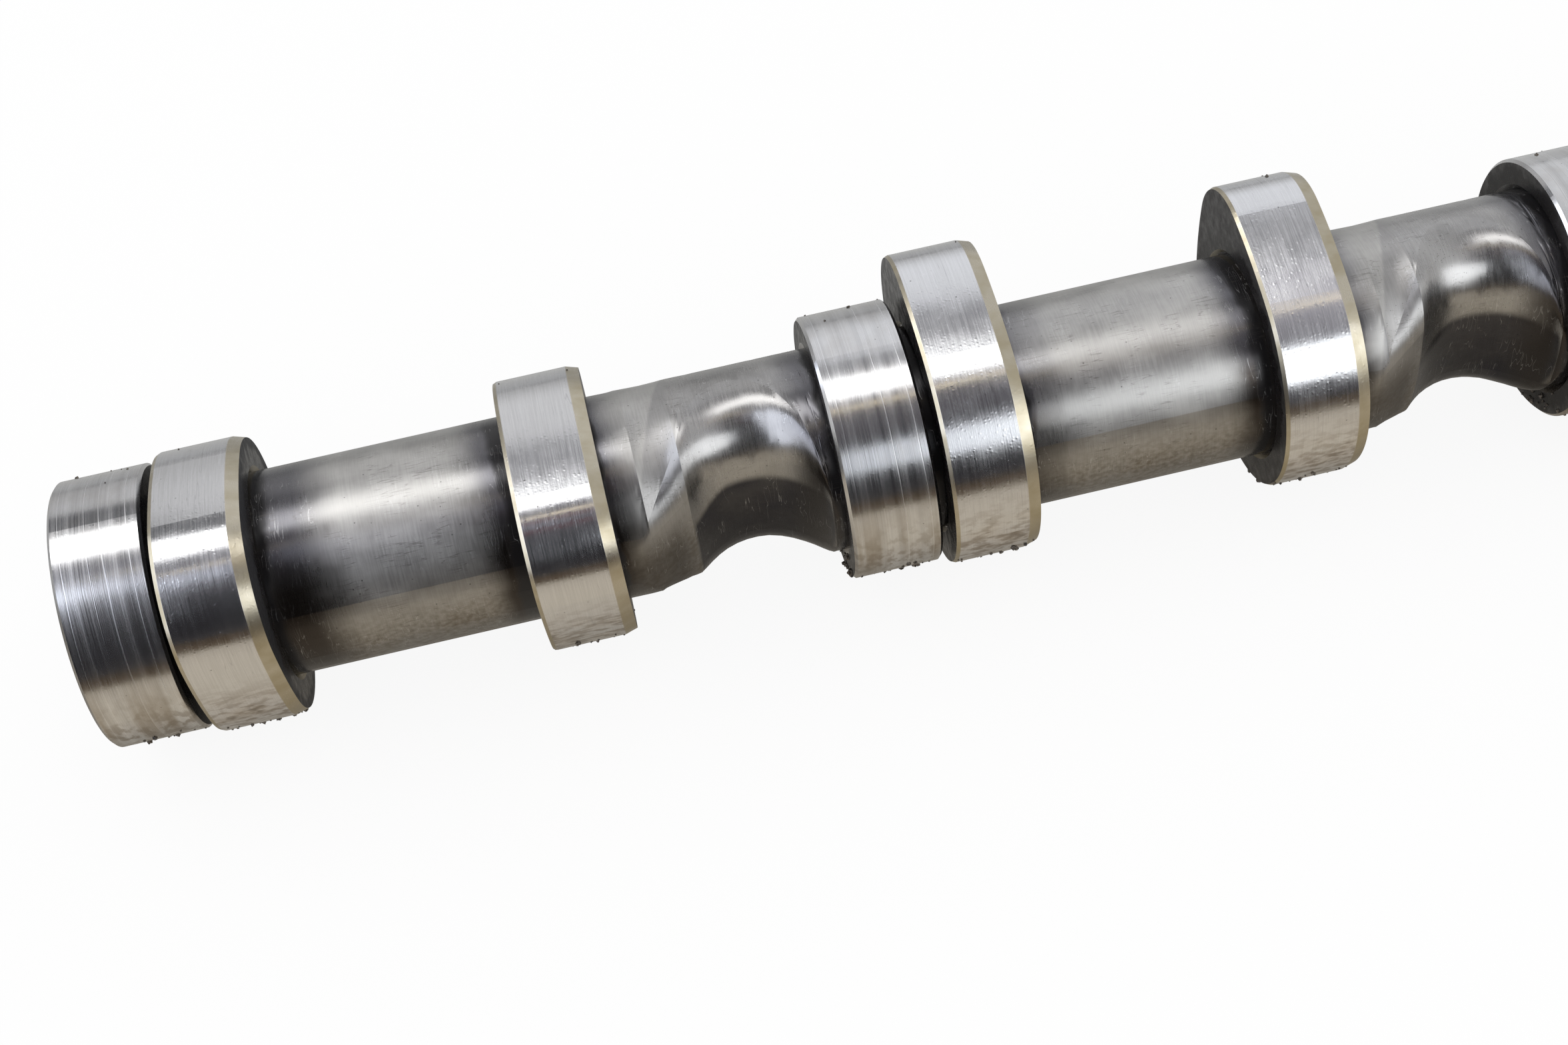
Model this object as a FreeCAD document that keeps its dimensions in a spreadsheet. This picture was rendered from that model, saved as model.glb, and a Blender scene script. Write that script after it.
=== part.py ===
import FreeCAD, Part
import math
import os

import Sketcher
from FreeCAD import Placement, Rotation, Vector

# Built-up camshaft of a four-cylinder engine, with a pair of cams for each cylinder.
# A drawn steel tube carries five journal rings and eight cams, pressed on and then ground.
# Beside the second cam of each pair the tube is pressed in, to clear a cylinder head bolt.
# Frame: +X along the shaft from the free end to the drive end, origin on the axis in the
# middle of the first journal, +Z up as the shaft comes to rest on a table. Millimetres and
# degrees.

doc = FreeCAD.newDocument("camshaft")
sheet = doc.addObject("Spreadsheet::Sheet", "Sizes")

# name, value, what it is
DRIVING_SIZES = [
    ("cylinder_spacing", 90.0, "from one cylinder to the next"),
    ("cylinder_count", 4, "cylinders in line"),
    ("tube_diameter", 25.0, "outside of the tube, and bore of all that is pressed on"),
    ("tube_wall", 3.5, "wall of the tube"),
    ("tube_edge", 0.6, "chamfer at the mouths of the tube"),
    ("journal_wall", 3.75, "wall of a journal ring, from the tube to its running surface"),
    ("journal_width", 10.8, "journal ring along the shaft"),
    ("journal_edge", 0.35, "chamfer at a journal ring's rims"),
    ("seat_edge", 0.7, "chamfer at both ends of a pressed-on bore"),
    ("cam_width", 10.4, "cam along the shaft"),
    ("cam_clearance", 1.4, "gap from a journal ring to the first cam"),
    ("cam_spacing", 40.5, "from the first cam of a pair to the second"),
    ("front_edge_width", 0.45, "edge break towards the free end, along the shaft"),
    ("front_edge_depth", 0.2, "the same, across the shaft"),
    ("back_edge_width", 1.5, "edge taper towards the drive end, along the shaft"),
    ("back_edge_depth", 0.45, "the same, across the shaft"),
    ("first_base_wall", 4.6, "first cam of a pair, from the tube to its base circle"),
    ("first_lift", 4.15, "lift of the first cam"),
    ("first_nose_radius", 11.5, "nose of the first cam"),
    ("first_flank_radius", 46.0, "flanks of the first cam"),
    ("second_base_wall", 4.1, "second cam of a pair, from the tube to its base circle"),
    ("second_lift", 4.3, "lift of the second cam"),
    ("second_nose_radius", 9.5, "nose of the second cam"),
    ("second_flank_radius", 50.0, "flanks of the second cam"),
    ("second_cam_lag", 12.4, "turn from the first nose of a pair to the second"),
    ("rest_turn", 130.4, "first nose of cylinder one, from +Y towards +Z, at rest"),
    ("saddle_turn", 49.4, "from the first nose of cylinder one to the saddles' floor"),
    ("saddle_floor", 5.35, "deepest point of a saddle, from the shaft's axis"),
    ("saddle_radius", 9.6, "round of the press tool along the shaft"),
    ("saddle_setback", 10.4, "deepest point of a saddle, before the next journal ring"),
    ("saddle_bend", 7.0, "round of the tube at a saddle's sides"),
    ("saddle_lip", 1.0, "round of the tube where a saddle ends at the ring"),
    ("crease_setback", 17.7, "crease at a saddle's far end, before the ring"),
    ("crease_clearance", 8.0, "least distance from a second cam to that crease"),
    ("lead_in_round", 7.0, "largest round where the tube starts to fall to the crease"),
    ("lead_in_gap", 0.6, "straight tube between a second cam and the fall"),
    ("plug_length", 12.0, "plug in the free end"),
    ("plug_recess", 1.0, "plug below the mouth of the tube"),
    ("plug_edge", 0.8, "chamfer at both ends of the plug"),
    ("centre_diameter", 7.0, "mouth of the lathe centre"),
    ("centre_drill", 2.5, "pilot of the lathe centre"),
    ("centre_pilot", 2.5, "length of that pilot"),
    ("shank_length", 10.0, "drive end inside the tube"),
    ("collar_step", 2.5, "shoulder that the drive wheel seats on, out from the tube"),
    ("collar_width", 5.0, "the same, along the shaft"),
    ("collar_edge", 0.4, "chamfer at the collar's rims"),
    ("spigot_diameter", 18.0, "seat of the drive wheel"),
    ("spigot_length", 14.0, "the same, along the shaft"),
    ("spigot_edge", 1.0, "chamfer at the end of the spigot"),
    ("bolt_hole_diameter", 10.4, "hole for the M12 bolt of the drive wheel"),
    ("bolt_hole_depth", 21.0, "the same, from the spigot's face"),
    ("bolt_hole_mouth", 13.0, "countersink of that hole"),
    ("drill_point", 118.0, "included angle of the drill that made it"),
    ("dowel_diameter", 4.0, "timing dowel, where it stands out of the collar"),
    ("dowel_stand_out", 4.5, "the same, along the shaft"),
    ("stub_diameter", 4.5, "the dowel's pressed-in end"),
    ("stub_length", 4.5, "the same, along the shaft"),
    ("dowel_inset", 3.0, "dowel's axis, in from the collar's rim"),
    ("dowel_edge", 0.5, "chamfer at both ends of the dowel"),
]

for row, (alias, value, meaning) in enumerate(DRIVING_SIZES, start=1):
    sheet.set(f"A{row}", meaning)
    sheet.set(f"B{row}", str(value))
    sheet.setAlias(f"B{row}", alias)
doc.recompute()


def size(alias):
    return float(getattr(sheet, alias))


CYLINDERS = int(size("cylinder_count"))
TUBE_RADIUS = size("tube_diameter") / 2
TUBE_START = -size("journal_width") / 2
TUBE_END = CYLINDERS * size("cylinder_spacing") + size("journal_width") / 2

# Two places nearer to each other than this are one place.
CLOSE = 1e-4

# Turn of each cylinder's cams on the shaft, for the firing order 1-3-4-2.
CYLINDER_TURN = [0, -90, 90, 180]


# What every sub-part is made with.

def new_body(name):
    body = doc.addObject("PartDesign::Body", name)
    body.Label = name
    return body


def new_sketch(body, name, plane):
    sketch = body.newObject("Sketcher::SketchObject", name)
    for feature in body.Origin.OriginFeatures:
        if feature.Role == plane:
            sketch.AttachmentSupport = [(feature, "")]
    sketch.MapMode = "FlatFace"
    return sketch


def bind(sketch, constraint, expression):
    """Adds a constraint whose value is worked out from the sheet."""
    index = sketch.addConstraint(constraint)
    sketch.setExpression(f"Constraints[{index}]", expression)


def closed_outline(sketch, points):
    """Draws straight lines through the points and joins them into one loop."""
    count = len(points)
    for start, end in zip(points, points[1:] + points[:1]):
        sketch.addGeometry(Part.LineSegment(Vector(*start, 0), Vector(*end, 0)))
    for line in range(count):
        sketch.addConstraint(Sketcher.Constraint("Coincident", line, 2, (line + 1) % count, 1))


def turned_profile(body, name, corners):
    """Revolves about X a loop of corners, each an (along, radius) pair of sheet expressions."""
    sketch = new_sketch(body, f"{name}_profile", "XZ_Plane")
    values = [(evaluate(along), evaluate(radius)) for along, radius in corners]
    closed_outline(sketch, values)
    for line, (along, radius) in enumerate(corners):
        bind(sketch, Sketcher.Constraint("DistanceX", -1, 1, line, 1, values[line][0]), along)
        bind(sketch, Sketcher.Constraint("DistanceY", -1, 1, line, 1, values[line][1]), radius)
    turned = body.newObject("PartDesign::Revolution", f"{name}_turned")
    turned.Profile = sketch
    turned.ReferenceAxis = (sketch, ["H_Axis"])
    turned.Angle = 360
    sketch.Visibility = False
    doc.recompute()
    return turned


def evaluate(expression):
    return float(sheet.evalExpression(expression))


def break_edges(body, base, name, edges, sizes):
    """Chamfers the base feature's edges; sizes maps one or two properties to expressions."""
    finish = body.newObject("PartDesign::Chamfer", name)
    finish.Base = (base, edges)
    if len(sizes) == 2:
        finish.ChamferType = "Two distances"
    for name_of_size, expression in sizes.items():
        finish.setExpression(name_of_size, expression)
    body.Tip = finish
    doc.recompute()
    return finish


def edges_where(shape, test):
    return [f"Edge{number}" for number, edge in enumerate(shape.Edges, start=1) if test(edge)]


def lies_at(edge, along):
    box = edge.BoundBox
    return abs(box.XMin - along) < CLOSE and abs(box.XMax - along) < CLOSE


def is_ring(edge):
    return edge.BoundBox.XLength < CLOSE


def is_mouth(edge):
    """Whether the edge is at an end of a bore that the tube passes through."""
    return is_ring(edge) and widest(edge) < TUBE_RADIUS + CLOSE


def widest(edge):
    return max(math.hypot(v.Point.y, v.Point.z) for v in edge.Vertexes)


# The tube: one drawn steel tube, pressed in at four saddles after drawing. Each section of a
# saddle is a chain of tangent arcs: the round back, two bends and an almost flat floor.

FLOOR_HALF_ANGLE = math.radians(8)
SMALLEST_BEND_ANGLE = math.radians(25)
SMALL_ROUND_SECTIONS = 4
FLOOR_SECTIONS = 7


def pressed_section(along, depth, inset):
    """Closed section across the tube, pressed in by depth along +Y, inset from its surface."""
    full_bend = TUBE_RADIUS - size("saddle_bend")
    bend_angle = max(SMALLEST_BEND_ANGLE, math.acos(max(-1.0, 1 - depth / full_bend)))
    reach = 1 - math.cos(bend_angle) - math.sin(bend_angle) * math.tan(FLOOR_HALF_ANGLE / 2)
    shift = depth / reach
    ratio = math.sin(bend_angle) / math.sin(FLOOR_HALF_ANGLE)
    bend_radius = TUBE_RADIUS - shift - inset
    floor_radius = TUBE_RADIUS + shift * (ratio - 1) - inset
    back_radius = TUBE_RADIUS - inset
    floor_centre = shift * (math.cos(bend_angle) - ratio * math.cos(FLOOR_HALF_ANGLE))
    bend_centre = Vector(0, shift * math.cos(bend_angle), shift * math.sin(bend_angle))

    def on_circle(centre_y, centre_z, radius, angle):
        return Vector(along, centre_y + radius * math.cos(angle), centre_z + radius * math.sin(angle))

    def arc(centre_y, centre_z, radius, start, end):
        middle = (start + end) / 2
        points = [on_circle(centre_y, centre_z, radius, angle) for angle in (start, middle, end)]
        return Part.Arc(*points).toShape()

    return Part.Wire([
        arc(floor_centre, 0, floor_radius, -FLOOR_HALF_ANGLE, FLOOR_HALF_ANGLE),
        arc(bend_centre.y, bend_centre.z, bend_radius, FLOOR_HALF_ANGLE, bend_angle),
        arc(0, 0, back_radius, bend_angle, 2 * math.pi - bend_angle),
        arc(bend_centre.y, -bend_centre.z, bend_radius, -bend_angle, -FLOOR_HALF_ANGLE),
    ])


def saddle_stretches():
    """Lists of (distance before the ring, depth), one list for each stretch of a saddle."""
    radius = size("saddle_radius")
    lip = size("saddle_lip")
    first_cam_start = size("journal_width") + size("cam_clearance")
    second_cam_end = first_cam_start + size("cam_spacing") + size("cam_width")
    room = size("cylinder_spacing") - second_cam_end
    crease = min(size("crease_setback"), room - size("crease_clearance"))
    tool_height = radius - (TUBE_RADIUS - size("saddle_floor"))
    crease_reach = crease - size("saddle_setback")
    crease_depth = math.sqrt(radius ** 2 - crease_reach ** 2) - tool_height

    # the tube falls from round to the crease, first round and then straight
    fall_start = room - size("lead_in_gap")
    fall = fall_start - crease
    longest_round = (fall ** 2 + crease_depth ** 2) / (2 * crease_depth)
    round_in = min(size("lead_in_round"), longest_round)
    slope = math.asin(round_in / math.hypot(fall, round_in - crease_depth))
    slope -= math.atan2(round_in - crease_depth, fall)
    lead_in = [
        (fall_start - round_in * math.sin(angle), round_in * (1 - math.cos(angle)))
        for angle in spread(0, slope, SMALL_ROUND_SECTIONS)
    ]
    fall_line = [lead_in[-1], (crease, crease_depth)]

    # the press tool's round, and the small round that brings the tube back out at the ring
    lip_reach = math.sqrt((radius + lip) ** 2 - (lip + tool_height) ** 2)
    lip_slope = math.atan2(lip_reach, lip + tool_height)
    setback = size("saddle_setback")
    floor = [
        (setback - radius * math.sin(angle), radius * math.cos(angle) - tool_height)
        for angle in spread(-math.asin(crease_reach / radius), lip_slope, FLOOR_SECTIONS)
    ]
    lip_round = [
        (setback - lip_reach + lip * math.sin(angle), lip * (1 - math.cos(angle)))
        for angle in spread(lip_slope, 0, SMALL_ROUND_SECTIONS)
    ]
    return [lead_in, fall_line, floor, lip_round]


def spread(first, last, count):
    return [first + (last - first) * step / (count - 1) for step in range(count)]


def shaft_core(inset):
    """Solid bar with the tube's outer form, inset from it by a given amount."""
    stretches = saddle_stretches()
    skin = []
    straight_start = TUBE_START
    for cylinder in range(1, CYLINDERS + 1):
        ring = cylinder * size("cylinder_spacing") - size("journal_width") / 2
        straight_end = ring - stretches[0][0][0]
        skin += straight_skin(straight_start, straight_end, inset)
        for stations in stretches:
            wires = [pressed_section(ring - setback, depth, inset) for setback, depth in stations]
            skin += Part.makeLoft(wires, False, len(wires) == 2).Faces
        straight_start = ring - stretches[-1][-1][0]
    skin += straight_skin(straight_start, TUBE_END, inset)
    skin += [Part.Face(pressed_section(end, 0, inset)) for end in (TUBE_START, TUBE_END)]
    shell = Part.makeShell(skin)
    shell.sewShape()
    core = Part.makeSolid(shell)
    core.rotate(Vector(0, 0, 0), Vector(1, 0, 0), size("rest_turn") + size("saddle_turn"))
    return core


def straight_skin(start, end, inset):
    return pressed_section(start, 0, inset).extrude(Vector(end - start, 0, 0)).Faces


def make_tube():
    tube = doc.addObject("Part::Feature", "tube")
    tube.Label = "tube"
    shape = shaft_core(0).cut(shaft_core(size("tube_wall")))
    ends = [edge for edge in shape.Edges if lies_at(edge, TUBE_START) or lies_at(edge, TUBE_END)]
    tube.Shape = shape.makeChamfer(size("tube_edge"), ends)
    tube.Placement = Placement(Vector(0, 0, 0), Rotation())
    return tube


# Journal rings: bearing steel rings, turned, pressed over the tube and ground in place.

def make_journal_ring(number):
    name = f"journal_ring_{number}"
    body = new_body(name)
    bore = "Sizes.tube_diameter / 2"
    outside = "Sizes.tube_diameter / 2 + Sizes.journal_wall"
    turned = turned_profile(body, name, [
        ("0", bore),
        ("Sizes.journal_width", bore),
        ("Sizes.journal_width", outside),
        ("0", outside),
    ])
    rims = edges_where(turned.Shape, lambda edge: is_ring(edge) and not is_mouth(edge))
    chamfered = break_edges(body, turned, f"{name}_rims", rims, {"Size": "Sizes.journal_edge"})
    mouths = edges_where(chamfered.Shape, is_mouth)
    break_edges(body, chamfered, f"{name}_mouths", mouths, {"Size": "Sizes.seat_edge"})
    body.setExpression("Placement.Base.x", f"{number - 1} * Sizes.cylinder_spacing - Sizes.journal_width / 2")
    return body


# Cams: forged and hardened steel, each a base circle, two flanks and a nose, all tangent.

def make_cam(cylinder, which):
    name = f"cam_{cylinder}{'a' if which == 'first' else 'b'}"
    body = new_body(name)
    sketch = new_sketch(body, f"{name}_profile", "YZ_Plane")
    draw_cam(sketch, which)
    blank = body.newObject("PartDesign::Pad", f"{name}_blank")
    blank.Profile = sketch
    blank.setExpression("Length", "Sizes.cam_width")
    sketch.Visibility = False
    body.Tip = blank
    doc.recompute()

    width = size("cam_width")
    front = edges_where(blank.Shape, lambda edge: lies_at(edge, 0) and not is_mouth(edge))
    broken = break_edges(body, blank, f"{name}_front_edge", front, {
        "Size": "Sizes.front_edge_width",
        "Size2": "Sizes.front_edge_depth",
    })
    back = edges_where(broken.Shape, lambda edge: lies_at(edge, width) and not is_mouth(edge))
    tapered = break_edges(body, broken, f"{name}_back_edge", back, {
        "Size": "Sizes.back_edge_width",
        "Size2": "Sizes.back_edge_depth",
    })
    mouths = edges_where(tapered.Shape, is_mouth)
    break_edges(body, tapered, f"{name}_mouths", mouths, {"Size": "Sizes.seat_edge"})

    start = f"{cylinder - 1} * Sizes.cylinder_spacing + Sizes.journal_width / 2 + Sizes.cam_clearance"
    turn = f"Sizes.rest_turn - 90 + {CYLINDER_TURN[cylinder - 1]}"
    if which == "second":
        start += " + Sizes.cam_spacing"
        turn += " + Sizes.second_cam_lag"
    body.Placement = Placement(Vector(0, 0, 0), Rotation(Vector(1, 0, 0), 1))
    body.setExpression("Placement.Base.x", start)
    body.setExpression("Placement.Rotation.Angle", turn)
    return body


def draw_cam(sketch, which):
    """Outline of a cam with its nose up, and its bore."""
    base_radius = f"Sizes.tube_diameter / 2 + Sizes.{which}_base_wall"
    base = evaluate(base_radius)
    nose = size(f"{which}_nose_radius")
    flank = size(f"{which}_flank_radius")
    rise = base + size(f"{which}_lift") - nose
    flank_y = ((flank - base) ** 2 - (flank - nose) ** 2 + rise ** 2) / (2 * rise)
    flank_x = math.sqrt((flank - base) ** 2 - flank_y ** 2)
    low = math.atan2(-flank_y, flank_x)
    high = math.atan2(rise - flank_y, flank_x)

    def arc(x, y, radius, start, end):
        circle = Part.Circle(Vector(x, y, 0), Vector(0, 0, 1), radius)
        return sketch.addGeometry(Part.ArcOfCircle(circle, start, end))

    top = arc(0, rise, nose, high, math.pi - high)
    left = arc(flank_x, flank_y, flank, math.pi - high, math.pi - low)
    bottom = arc(0, 0, base, math.pi - low, 2 * math.pi + low)
    right = arc(-flank_x, flank_y, flank, low, high)
    for one, other in ((top, left), (left, bottom), (bottom, right), (right, top)):
        sketch.addConstraint(Sketcher.Constraint("Tangent", one, 2, other, 1))
    sketch.addConstraint(Sketcher.Constraint("Coincident", bottom, 3, -1, 1))
    sketch.addConstraint(Sketcher.Constraint("PointOnObject", top, 3, -2))
    sketch.addConstraint(Sketcher.Constraint("Equal", left, right))
    bore = sketch.addGeometry(Part.Circle(Vector(0, 0, 0), Vector(0, 0, 1), TUBE_RADIUS))
    sketch.addConstraint(Sketcher.Constraint("Coincident", bore, 3, -1, 1))
    bind(sketch, Sketcher.Constraint("Radius", bottom, base), base_radius)
    bind(sketch, Sketcher.Constraint("Radius", top, nose), f"Sizes.{which}_nose_radius")
    bind(sketch, Sketcher.Constraint("Radius", right, flank), f"Sizes.{which}_flank_radius")
    bind(sketch, Sketcher.Constraint("Radius", bore, TUBE_RADIUS), "Sizes.tube_diameter / 2")
    bind(sketch, Sketcher.Constraint("DistanceY", -1, 1, top, 3, rise),
         f"{base_radius} + Sizes.{which}_lift - Sizes.{which}_nose_radius")


# Plug of the free end: turned steel, pressed in, with the centre that the shaft is ground on.

def make_end_plug():
    body = new_body("end_plug")
    fit = "Sizes.tube_diameter / 2 - Sizes.tube_wall"
    small = f"{fit} - Sizes.plug_edge"
    cone = "Sizes.centre_diameter / 2 - Sizes.centre_drill / 2"
    turned_profile(body, "end_plug", [
        ("0", "Sizes.centre_diameter / 2"),
        ("0", small),
        ("Sizes.plug_edge", fit),
        ("Sizes.plug_length - Sizes.plug_edge", fit),
        ("Sizes.plug_length", small),
        ("Sizes.plug_length", "0"),
        (f"({cone}) * sqrt(3) + Sizes.centre_pilot", "0"),
        (f"({cone}) * sqrt(3) + Sizes.centre_pilot", "Sizes.centre_drill / 2"),
        (f"({cone}) * sqrt(3)", "Sizes.centre_drill / 2"),
    ])
    body.setExpression("Placement.Base.x", "Sizes.plug_recess - Sizes.journal_width / 2")
    return body


# Drive end: turned steel, pressed into the tube behind the last journal, with a shoulder, a
# spigot and a tapped hole for the wheel that drives the shaft.

DOWEL_HEIGHT = "Sizes.tube_diameter / 2 + Sizes.collar_step - Sizes.dowel_inset"


def make_drive_end():
    body = new_body("drive_end")
    fit = "Sizes.tube_diameter / 2 - Sizes.tube_wall"
    collar = "Sizes.tube_diameter / 2 + Sizes.collar_step"
    hole = "Sizes.bolt_hole_diameter / 2"
    mouth = "Sizes.bolt_hole_mouth / 2"
    face = "Sizes.collar_width + Sizes.spigot_length"
    bottom = f"{face} - Sizes.bolt_hole_depth"
    turned = turned_profile(body, "drive_end", [
        ("-Sizes.shank_length", "0"),
        ("-Sizes.shank_length", f"{fit} - Sizes.plug_edge"),
        ("Sizes.plug_edge - Sizes.shank_length", fit),
        ("0", fit),
        ("0", collar),
        ("Sizes.collar_width", collar),
        ("Sizes.collar_width", "Sizes.spigot_diameter / 2"),
        (f"{face} - Sizes.spigot_edge", "Sizes.spigot_diameter / 2"),
        (face, "Sizes.spigot_diameter / 2 - Sizes.spigot_edge"),
        (face, mouth),
        (f"{face} - ({mouth} - {hole})", hole),
        (bottom, hole),
        (f"{bottom} - {hole} / tan(Sizes.drill_point / 2 * 1 deg)", "0"),
    ])
    rims = edges_where(turned.Shape, lambda edge: is_ring(edge) and widest(edge) > evaluate(collar) - CLOSE)
    chamfered = break_edges(body, turned, "drive_end_rims", rims, {"Size": "Sizes.collar_edge"})

    hole_sketch = new_sketch(body, "dowel_hole_circle", "YZ_Plane")
    hole_sketch.AttachmentOffset = Placement(Vector(0, 0, size("collar_width")), Rotation())
    hole_sketch.setExpression("AttachmentOffset.Base.z", "Sizes.collar_width")
    radius = size("stub_diameter") / 2
    centre = Vector(0, evaluate(DOWEL_HEIGHT), 0)
    circle = hole_sketch.addGeometry(Part.Circle(centre, Vector(0, 0, 1), radius))
    bind(hole_sketch, Sketcher.Constraint("Radius", circle, radius), "Sizes.stub_diameter / 2")
    bind(hole_sketch, Sketcher.Constraint("DistanceY", -1, 1, circle, 3, centre.y), DOWEL_HEIGHT)
    hole_sketch.addConstraint(Sketcher.Constraint("PointOnObject", circle, 3, -2))
    dowel_hole = body.newObject("PartDesign::Pocket", "dowel_hole")
    dowel_hole.Profile = hole_sketch
    dowel_hole.setExpression("Length", "Sizes.stub_length")
    hole_sketch.Visibility = False
    body.Tip = dowel_hole
    doc.recompute()
    removed = chamfered.Shape.Volume - dowel_hole.Shape.Volume
    if removed < math.pi * radius ** 2:
        raise RuntimeError("the dowel hole cuts nothing")
    body.setExpression("Placement.Base.x",
                       "Sizes.cylinder_count * Sizes.cylinder_spacing + Sizes.journal_width / 2")
    return body


# Timing dowel: a hardened pin that sets the drive wheel's angle. Its thicker end is pressed into
# the collar, flush with the collar's face.

def make_timing_dowel():
    body = new_body("timing_dowel")
    radius = "Sizes.dowel_diameter / 2"
    stub = "Sizes.stub_diameter / 2"
    end = "Sizes.stub_length + Sizes.dowel_stand_out"
    turned_profile(body, "timing_dowel", [
        ("0", "0"),
        (end, "0"),
        (end, f"{radius} - Sizes.dowel_edge"),
        (f"{end} - Sizes.dowel_edge", radius),
        ("Sizes.stub_length", radius),
        ("Sizes.stub_length", stub),
        ("Sizes.dowel_edge", stub),
        ("0", f"{stub} - Sizes.dowel_edge"),
    ])
    body.setExpression(
        "Placement.Base.x",
        "Sizes.cylinder_count * Sizes.cylinder_spacing + Sizes.journal_width / 2"
        " + Sizes.collar_width - Sizes.stub_length",
    )
    body.setExpression("Placement.Base.z", DOWEL_HEIGHT)
    return body


sub_parts = [make_tube(), make_end_plug()]
sub_parts += [make_journal_ring(number) for number in range(1, CYLINDERS + 2)]
for cylinder in range(1, CYLINDERS + 1):
    sub_parts += [make_cam(cylinder, which) for which in ("first", "second")]
sub_parts += [make_drive_end(), make_timing_dowel()]
doc.recompute()

for item in doc.Objects:
    if "Invalid" in item.State or "Error" in item.State:
        raise RuntimeError(f"{item.Name} could not be worked out: {item.State}")
for part in sub_parts:
    if part.Shape.isNull() or not part.Shape.isValid():
        raise RuntimeError(f"{part.Label} has no valid shape")
    if len(part.Shape.Solids) != 1:
        raise RuntimeError(f"{part.Label} is {len(part.Shape.Solids)} solids, not one")

os.makedirs("parts", exist_ok=True)
for part in sub_parts:
    part.Shape.exportStep(f"parts/{part.Label}.step")
    print(part.Label, round(part.Shape.Volume, 1))
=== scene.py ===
import math

import bmesh
import bpy
from mathutils import Matrix, Vector


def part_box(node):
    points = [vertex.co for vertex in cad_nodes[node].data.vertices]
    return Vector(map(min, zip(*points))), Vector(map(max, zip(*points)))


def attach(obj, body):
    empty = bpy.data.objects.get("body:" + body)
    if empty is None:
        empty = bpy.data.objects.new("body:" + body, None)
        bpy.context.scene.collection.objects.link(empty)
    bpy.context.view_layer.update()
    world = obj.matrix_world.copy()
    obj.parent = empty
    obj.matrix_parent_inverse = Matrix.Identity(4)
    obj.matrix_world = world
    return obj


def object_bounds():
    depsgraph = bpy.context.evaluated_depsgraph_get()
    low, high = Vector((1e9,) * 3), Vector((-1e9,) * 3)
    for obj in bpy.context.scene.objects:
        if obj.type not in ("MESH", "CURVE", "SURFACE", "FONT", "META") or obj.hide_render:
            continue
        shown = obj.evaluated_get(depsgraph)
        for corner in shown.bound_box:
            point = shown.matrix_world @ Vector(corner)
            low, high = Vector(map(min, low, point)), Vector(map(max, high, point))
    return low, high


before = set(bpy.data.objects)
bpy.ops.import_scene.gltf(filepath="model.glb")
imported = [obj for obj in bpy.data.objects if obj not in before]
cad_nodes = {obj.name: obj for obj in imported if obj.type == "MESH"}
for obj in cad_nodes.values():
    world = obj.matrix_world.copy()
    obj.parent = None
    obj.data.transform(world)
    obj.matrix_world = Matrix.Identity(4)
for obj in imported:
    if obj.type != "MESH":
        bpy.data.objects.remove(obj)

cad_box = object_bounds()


# Tube: drawn steel pipe as it comes from the mill, satin grey with fine marks along it.
# Pressing on and service left it smoky beside every ring and cam, and darker and pitted from the second cam
# of a pair over the saddle to the next ring. Beside the rings and cams the dark is partly painted shade, the
# dark reflection of their side faces, and the floor of each saddle carries painted shade.
MM_PER_METRE = 1000.0
NOISE_LOW = 0.35
NOISE_HIGH = 0.65


def add_node(tree, kind, inputs, **settings):
    """Add a node; each input, by name or number, is a value or another node's output."""
    node = tree.nodes.new(kind)
    for name, value in settings.items():
        setattr(node, name, value)
    for key, value in inputs.items():
        if isinstance(value, bpy.types.NodeSocket):
            tree.links.new(value, node.inputs[key])
        else:
            node.inputs[key].default_value = value
    return node


def shader_node(tree, kind, inputs=None, **settings):
    return add_node(tree, "ShaderNode" + kind, inputs or {}, **settings)


def calculate(tree, operation, *values):
    return shader_node(tree, "Math", dict(enumerate(values)), operation=operation).outputs[0]


def add(tree, first, second):
    return calculate(tree, "ADD", first, second)


def subtract(tree, first, second):
    return calculate(tree, "SUBTRACT", first, second)


def multiply(tree, *values):
    product = values[0]
    for value in values[1:]:
        product = calculate(tree, "MULTIPLY", product, value)
    return product


def ease(tree, value, start, end):
    """0 on the start's side, 1 on the end's side, with a smooth step between them."""
    inputs = {"Value": value, "From Min": start, "From Max": end}
    return shader_node(tree, "MapRange", inputs, interpolation_type="SMOOTHSTEP").outputs[0]


def spread(tree, noise, low, high):
    """The range in which most of a noise lies, drawn out to the range from low to high."""
    inputs = {"Value": noise, "From Min": NOISE_LOW, "From Max": NOISE_HIGH, "To Min": low, "To Max": high}
    return shader_node(tree, "MapRange", inputs).outputs[0]


def blend(tree, share, first, second):
    """First colour where share is 0, second where it is 1."""
    return shader_node(tree, "Mix", {0: share, 6: first, 7: second}, data_type="RGBA").outputs[2]


def lay(tree, colour, new_colour, mask, most=1.0):
    """Lay a new colour over a colour where a mask is 1, at most to a share of it."""
    share = mask if most == 1.0 else multiply(tree, mask, most)
    return blend(tree, share, colour, new_colour)


def levels_along(tree, value, stops):
    """Ramp of colours, each stop a value from 0 to 1 with its red, green and blue."""
    ramp = shader_node(tree, "ValToRGB", {0: value})
    for number, (position, stop_colour) in enumerate(stops):
        stop = ramp.color_ramp.elements[number] if number < 2 else ramp.color_ramp.elements.new(position)
        stop.position = position
        stop.color = (*stop_colour, 1)
    return ramp.outputs[0]


def split(tree, vector):
    return shader_node(tree, "SeparateXYZ", {0: vector}).outputs


def place_in_metres(tree):
    return shader_node(tree, "TexCoord").outputs["Object"]


def place_in_mm(tree):
    return shader_node(tree, "VectorMath", {0: place_in_metres(tree), "Scale": MM_PER_METRE},
                       operation="SCALE").outputs[0]


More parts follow.
